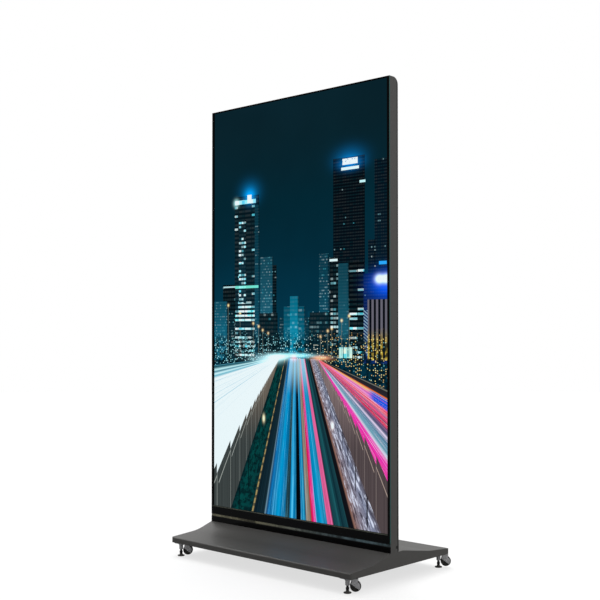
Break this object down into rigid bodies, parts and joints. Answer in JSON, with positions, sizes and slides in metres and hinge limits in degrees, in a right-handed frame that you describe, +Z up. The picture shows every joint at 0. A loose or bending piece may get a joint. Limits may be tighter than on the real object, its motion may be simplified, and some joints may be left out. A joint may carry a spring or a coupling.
{
  "type": "touchscreen kiosk",
  "caption": "Free-standing upright touch display on a low sculpted base with swivelling levelling castors and a lockable rear service door.",
  "frame": {"origin": "on the floor under the middle of the base", "axes": "+Z up, +Y towards the back, the screen faces -Y, +X to the viewer's right"},
  "size_m": [1.0963, 0.6902, 2.104],
  "materials": {
    "cover_glass": "toughened cover glass, clear with green edges",
    "clear_film": "clear touch sensor film",
    "display": "liquid crystal cell behind black mask",
    "black_foam": "black foam tape",
    "white_plastic": "milky diffusing plastic",
    "zinc_steel": "zinc-coated sheet and tube",
    "raw_steel": "plain steel",
    "bright_steel": "bright plated steel",
    "black_steel": "black oxide steel",
    "grey_paint": "fine-textured dark grey powder coat",
    "black_paint": "fine-textured black powder coat",
    "gloss_black": "gloss black trim",
    "strip_grey": "satin grey strip",
    "aluminium": "anodised aluminium",
    "circuit_board": "green circuit board",
    "black_plastic": "moulded black plastic",
    "cable_rubber": "cable sheath",
    "castor_alloy": "satin die-cast alloy",
    "castor_nylon": "black nylon wheel",
    "foot_rubber": "black foot pad"
  },
  "bodies": {
    "root": {"cover_glass": "cover_glass", "touch_film": "clear_film", "light_gasket": "black_foam", "lcd_cell": "display", "diffuser_plate": "white_plastic", "backlight_tray": "zinc_steel", "led_bars": "white_plastic", "mast_frame": "zinc_steel", "side_panel_left": "grey_paint", "side_panel_right": "grey_paint", "top_cover": "grey_paint", "base_cover": "grey_paint", "rear_cover": "black_paint", "rear_cover_screws": "black_steel", "lower_trim": "gloss_black", "trim_strip": "strip_grey", "media_player": "aluminium", "power_supply": "zinc_steel", "driver_board": "circuit_board", "speakers": "black_plastic", "fan_frames": "black_plastic", "connector_plate": "black_plastic", "mains_inlet": "black_plastic", "switch_body": "black_plastic", "cable_harness": "cable_rubber", "door_hinges": "bright_steel", "hinge_pins": "bright_steel", "base_plate": "black_paint", "ballast_blocks": "raw_steel", "mast_bolts": "raw_steel", "castor_plates": "zinc_steel", "castor_screws": "bright_steel", "castor_retainers": "bright_steel"},
    "service_door": {"service_door": "black_paint", "lock_barrel": "bright_steel"},
    "lock_plug": {"lock_plug": "bright_steel"},
    "rocker": {"rocker": "gloss_black"},
    "power_button": {"power_button": "bright_steel"},
    "fan_rotor_left": {"fan_rotor_left": "black_plastic"},
    "fan_rotor_right": {"fan_rotor_right": "black_plastic"},
    "castor_front_left": {"castor_fork_front_left": "castor_alloy", "castor_axle_front_left": "bright_steel"},
    "wheel_front_left": {"castor_wheel_front_left": "castor_nylon"},
    "foot_pad_front_left": {"foot_pad_front_left": "foot_rubber"},
    "foot_stem_front_left": {"foot_stem_front_left": "black_steel"},
    "castor_front_right": {"castor_fork_front_right": "castor_alloy", "castor_axle_front_right": "bright_steel"},
    "wheel_front_right": {"castor_wheel_front_right": "castor_nylon"},
    "foot_pad_front_right": {"foot_pad_front_right": "foot_rubber"},
    "foot_stem_front_right": {"foot_stem_front_right": "black_steel"},
    "castor_rear_left": {"castor_fork_rear_left": "castor_alloy", "castor_axle_rear_left": "bright_steel"},
    "wheel_rear_left": {"castor_wheel_rear_left": "castor_nylon"},
    "foot_pad_rear_left": {"foot_pad_rear_left": "foot_rubber"},
    "foot_stem_rear_left": {"foot_stem_rear_left": "black_steel"},
    "castor_rear_right": {"castor_fork_rear_right": "castor_alloy", "castor_axle_rear_right": "bright_steel"},
    "wheel_rear_right": {"castor_wheel_rear_right": "castor_nylon"},
    "foot_pad_rear_right": {"foot_pad_rear_right": "foot_rubber"},
    "foot_stem_rear_right": {"foot_stem_rear_right": "black_steel"}
  },
  "joints": [
    {"name": "door_hinge", "type": "hinge", "parent": "root", "child": "service_door", "pos_m": [-0.195, -0.0245, 0.62], "axis": [0, 0, 1], "range_deg": [0, 110]},
    {"name": "lock_turn", "type": "hinge", "parent": "service_door", "child": "lock_plug", "pos_m": [0.16, -0.03, 0.62], "axis": [0, -1, 0], "range_deg": [0, 90]},
    {"name": "rocker_tip", "type": "hinge", "parent": "root", "child": "rocker", "pos_m": [0.315, -0.03, 0.175], "axis": [0, 0, 1], "range_deg": [0, 16]},
    {"name": "button_press", "type": "slide", "parent": "root", "child": "power_button", "axis": [0, -1, 0], "range_m": [0, 0.0015], "stiffness_N_per_m": 1500},
    {"name": "fan_spin_left", "type": "hinge", "parent": "root", "child": "fan_rotor_left", "pos_m": [-0.3, -0.04, 1.88], "axis": [0, 1, 0], "continuous": true},
    {"name": "fan_spin_right", "type": "hinge", "parent": "root", "child": "fan_rotor_right", "pos_m": [0.3, -0.04, 1.88], "axis": [0, 1, 0], "continuous": true},
    {"name": "castor_swivel_front_left", "type": "hinge", "parent": "root", "child": "castor_front_left", "pos_m": [-0.506, -0.31, 0.045], "axis": [0, 0, 1], "continuous": true},
    {"name": "wheel_roll_front_left", "type": "hinge", "parent": "castor_front_left", "child": "wheel_front_left", "pos_m": [-0.48267, -0.28809, 0.0285], "axis": [0.6845, -0.729, 0], "continuous": true},
    {"name": "foot_height_front_left", "type": "slide", "parent": "root", "child": "foot_pad_front_left", "axis": [0, 0, 1], "range_m": [-0.004, 0.008]},
    {"name": "foot_screw_front_left", "type": "hinge", "parent": "foot_pad_front_left", "child": "foot_stem_front_left", "pos_m": [-0.506, -0.31, 0.02], "axis": [0, 0, 1], "range_deg": [-965, 1925]},
    {"name": "castor_swivel_front_right", "type": "hinge", "parent": "root", "child": "castor_front_right", "pos_m": [0.506, -0.31, 0.045], "axis": [0, 0, 1], "continuous": true},
    {"name": "wheel_roll_front_right", "type": "hinge", "parent": "castor_front_right", "child": "wheel_front_right", "pos_m": [0.52933, -0.28809, 0.0285], "axis": [0.6845, -0.729, 0], "continuous": true},
    {"name": "foot_height_front_right", "type": "slide", "parent": "root", "child": "foot_pad_front_right", "axis": [0, 0, 1], "range_m": [-0.004, 0.008]},
    {"name": "foot_screw_front_right", "type": "hinge", "parent": "foot_pad_front_right", "child": "foot_stem_front_right", "pos_m": [0.506, -0.31, 0.02], "axis": [0, 0, 1], "range_deg": [-965, 1925]},
    {"name": "castor_swivel_rear_left", "type": "hinge", "parent": "root", "child": "castor_rear_left", "pos_m": [-0.506, 0.31, 0.045], "axis": [0, 0, 1], "continuous": true},
    {"name": "wheel_roll_rear_left", "type": "hinge", "parent": "castor_rear_left", "child": "wheel_rear_left", "pos_m": [-0.48267, 0.33191, 0.0285], "axis": [0.6845, -0.729, 0], "continuous": true},
    {"name": "foot_height_rear_left", "type": "slide", "parent": "root", "child": "foot_pad_rear_left", "axis": [0, 0, 1], "range_m": [-0.004, 0.008]},
    {"name": "foot_screw_rear_left", "type": "hinge", "parent": "foot_pad_rear_left", "child": "foot_stem_rear_left", "pos_m": [-0.506, 0.31, 0.02], "axis": [0, 0, 1], "range_deg": [-965, 1925]},
    {"name": "castor_swivel_rear_right", "type": "hinge", "parent": "root", "child": "castor_rear_right", "pos_m": [0.506, 0.31, 0.045], "axis": [0, 0, 1], "continuous": true},
    {"name": "wheel_roll_rear_right", "type": "hinge", "parent": "castor_rear_right", "child": "wheel_rear_right", "pos_m": [0.52933, 0.33191, 0.0285], "axis": [0.6845, -0.729, 0], "continuous": true},
    {"name": "foot_height_rear_right", "type": "slide", "parent": "root", "child": "foot_pad_rear_right", "axis": [0, 0, 1], "range_m": [-0.004, 0.008]},
    {"name": "foot_screw_rear_right", "type": "hinge", "parent": "foot_pad_rear_right", "child": "foot_stem_rear_right", "pos_m": [0.506, 0.31, 0.02], "axis": [0, 0, 1], "range_deg": [-965, 1925]}
  ],
  "couplings": [
    {"joint": "foot_screw_front_left", "follows": "foot_height_front_left", "rad_per_m": 4188.8},
    {"joint": "foot_screw_front_right", "follows": "foot_height_front_right", "rad_per_m": 4188.8},
    {"joint": "foot_screw_rear_left", "follows": "foot_height_rear_left", "rad_per_m": 4188.8},
    {"joint": "foot_screw_rear_right", "follows": "foot_height_rear_right", "rad_per_m": 4188.8}
  ]
}
